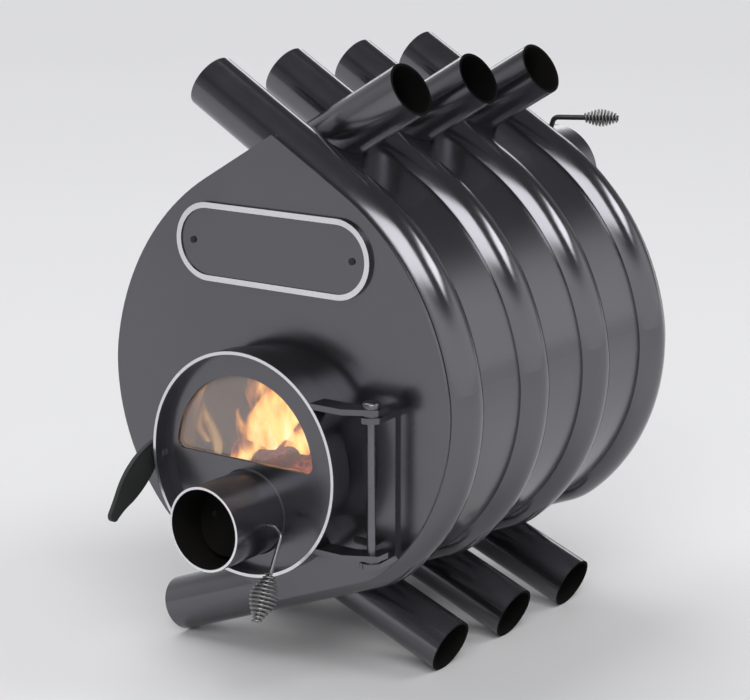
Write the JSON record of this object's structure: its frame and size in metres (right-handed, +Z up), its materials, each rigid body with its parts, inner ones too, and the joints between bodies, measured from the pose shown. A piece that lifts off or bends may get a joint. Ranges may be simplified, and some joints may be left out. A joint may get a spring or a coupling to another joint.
{
  "type": "convection wood stove",
  "caption": "Barrel-shaped wood stove of crossed, bent convection tubes with a round windowed door, a throttled air inlet tube and a throttled flue spigot at the back.",
  "frame": {"origin": "on the floor, under the middle of the stove's whole length and on its middle plane", "axes": "+Y runs from the door to the flue, +X is to the right seen from the door, +Z is up"},
  "size_m": [0.4708, 0.6762, 0.6469],
  "materials": {
    "stove_steel": "satin heat-resistant charcoal paint",
    "plate_steel": "satin charcoal paint with a bare rim",
    "bright_steel": "zinc plated, lightly dulled",
    "spring_wire": "bright drawn wire",
    "cast_iron": "matte black cast",
    "ceramic_glass": "clear, slightly smoked",
    "fibre_seal": "woven glass fibre, matte",
    "scaled_steel": "matte, heat scaled and sooted"
  },
  "bodies": {
    "stove": {"convection_tube_1": "stove_steel", "convection_tube_2": "stove_steel", "convection_tube_3": "stove_steel", "convection_tube_4": "stove_steel", "convection_tube_5": "stove_steel", "convection_tube_6": "stove_steel", "convection_tube_7": "stove_steel", "casing_right_1": "stove_steel", "casing_right_2": "stove_steel", "casing_right_3": "stove_steel", "casing_left_1": "stove_steel", "casing_left_2": "stove_steel", "casing_left_3": "stove_steel", "casing_left_4": "stove_steel", "front_plate": "stove_steel", "rear_plate": "stove_steel", "door_collar": "scaled_steel", "ember_sill": "scaled_steel", "flue_outlet": "stove_steel", "flue_bushings": "stove_steel", "baffle_ledges": "scaled_steel", "baffle_plate": "scaled_steel", "air_injectors": "scaled_steel", "nameplate": "plate_steel", "nameplate_screws": "bright_steel", "hinge_bracket": "stove_steel", "hinge_pin": "bright_steel", "hinge_washers": "bright_steel", "latch_keeper": "stove_steel"},
    "door": {"door_ring": "stove_steel", "door_disc": "stove_steel", "window_glass": "ceramic_glass", "glass_gasket": "fibre_seal", "glass_clips": "bright_steel", "glass_clip_screws": "bright_steel", "rope_seal": "fibre_seal", "rope_guide": "scaled_steel", "air_inlet_tube": "stove_steel", "air_deflector": "scaled_steel", "hinge_strap_upper": "stove_steel", "hinge_strap_lower": "stove_steel", "latch_boss": "stove_steel", "latch_bolt": "bright_steel"},
    "latch": {"latch_lever": "cast_iron"},
    "air_damper": {"air_damper_rod": "stove_steel", "air_damper_flap": "stove_steel", "air_damper_screws": "bright_steel", "air_damper_stop_ring": "stove_steel", "air_damper_grip": "spring_wire"},
    "flue_damper": {"flue_damper_rod": "stove_steel", "flue_damper_flap": "stove_steel", "flue_damper_screws": "bright_steel", "flue_damper_stop_ring": "stove_steel", "flue_damper_grip": "spring_wire"}
  },
  "joints": [
    {"name": "door_hinge", "type": "hinge", "parent": "stove", "child": "door", "pos_m": [0.151, -0.2541, 0.24], "axis": [0, 0, 1], "range_deg": [0, 135]},
    {"name": "latch_turn", "type": "hinge", "parent": "door", "child": "latch", "pos_m": [-0.1312, -0.2635, 0.22956], "axis": [-1, 0, 0], "range_deg": [0, 60]},
    {"name": "air_throttle", "type": "hinge", "parent": "door", "child": "air_damper", "pos_m": [0, -0.2881, 0.18456], "axis": [1, 0, 0], "range_deg": [-62, 22]},
    {"name": "flue_throttle", "type": "hinge", "parent": "stove", "child": "flue_damper", "pos_m": [0, 0.2917, 0.46826], "axis": [0.319, 0, 0.9478], "range_deg": [-30, 60]}
  ]
}
